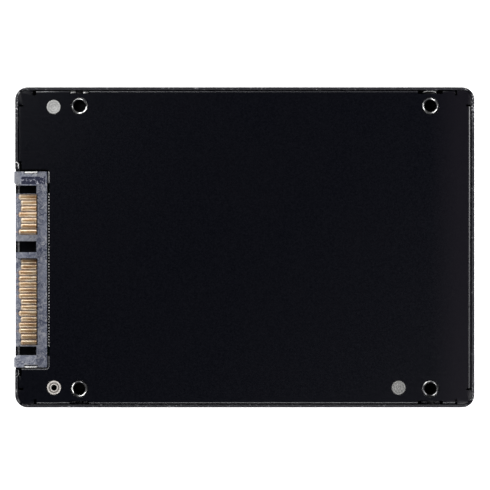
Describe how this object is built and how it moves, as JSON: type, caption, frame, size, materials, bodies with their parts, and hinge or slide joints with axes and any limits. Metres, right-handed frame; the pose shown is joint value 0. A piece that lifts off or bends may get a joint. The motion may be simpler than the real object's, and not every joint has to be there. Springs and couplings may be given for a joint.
{
  "type": "solid state drive",
  "caption": "Thin rectangular storage drive in a black two-part metal case, with a plug connector with gold contacts at one end and threaded mounting holes near its corners.",
  "frame": {"origin": "centre of the whole drive's bounding box in plan, at the label face it lies on", "axes": "+X along the drive, away from the connector; +Y across the drive; +Z out of the underside, the face with the mounting holes. The drive lies on its label face."},
  "size_m": [0.1004, 0.0698, 0.007],
  "materials": {
    "powder_coat": "satin",
    "bare_steel": "satin",
    "rivet_metal": "satin",
    "connector_plastic": "satin",
    "gold_contact": "satin",
    "tin_plate": "satin",
    "board_laminate": "satin",
    "chip_resin": "matte",
    "ferrite": "matte",
    "crystal_lid": "satin",
    "capacitor_resin": "matte",
    "thermal_gel": "matte",
    "label_film": "satin"
  },
  "bodies": {
    "root": {"top_cover": "powder_coat", "bottom_cover": "powder_coat", "mount_block_front_left": "bare_steel", "mount_block_front_right": "bare_steel", "mount_block_rear_left": "bare_steel", "mount_block_rear_right": "bare_steel", "rivet_front_left": "rivet_metal", "rivet_front_right": "rivet_metal", "rivet_rear_right": "rivet_metal", "spacer_front_left": "bare_steel", "spacer_front_right": "bare_steel", "spacer_rear_right": "bare_steel", "circuit_board": "board_laminate", "connector_housing": "connector_plastic", "signal_contact_1": "gold_contact", "signal_contact_2": "gold_contact", "signal_contact_3": "gold_contact", "signal_contact_4": "gold_contact", "signal_contact_5": "gold_contact", "signal_contact_6": "gold_contact", "signal_contact_7": "gold_contact", "power_contact_1": "gold_contact", "power_contact_2": "gold_contact", "power_contact_3": "gold_contact", "power_contact_4": "gold_contact", "power_contact_5": "gold_contact", "power_contact_6": "gold_contact", "power_contact_7": "gold_contact", "power_contact_8": "gold_contact", "power_contact_9": "gold_contact", "power_contact_10": "gold_contact", "power_contact_11": "gold_contact", "power_contact_12": "gold_contact", "power_contact_13": "gold_contact", "power_contact_14": "gold_contact", "power_contact_15": "gold_contact", "board_lock_left": "tin_plate", "board_lock_right": "tin_plate", "controller_chip": "chip_resin", "dram_chip": "chip_resin", "power_management_chip": "chip_resin", "flash_chip_1": "chip_resin", "flash_chip_2": "chip_resin", "flash_chip_3": "chip_resin", "flash_chip_4": "chip_resin", "flash_chip_5": "chip_resin", "flash_chip_6": "chip_resin", "flash_chip_7": "chip_resin", "flash_chip_8": "chip_resin", "power_inductor": "ferrite", "clock_crystal": "crystal_lid", "hold_up_capacitor_1": "capacitor_resin", "hold_up_capacitor_2": "capacitor_resin", "hold_up_capacitor_3": "capacitor_resin", "hold_up_capacitor_4": "capacitor_resin", "thermal_pad_controller": "thermal_gel", "thermal_pad_flash_1": "thermal_gel", "thermal_pad_flash_2": "thermal_gel", "product_label": "label_film"}
  },
  "joints": []
}
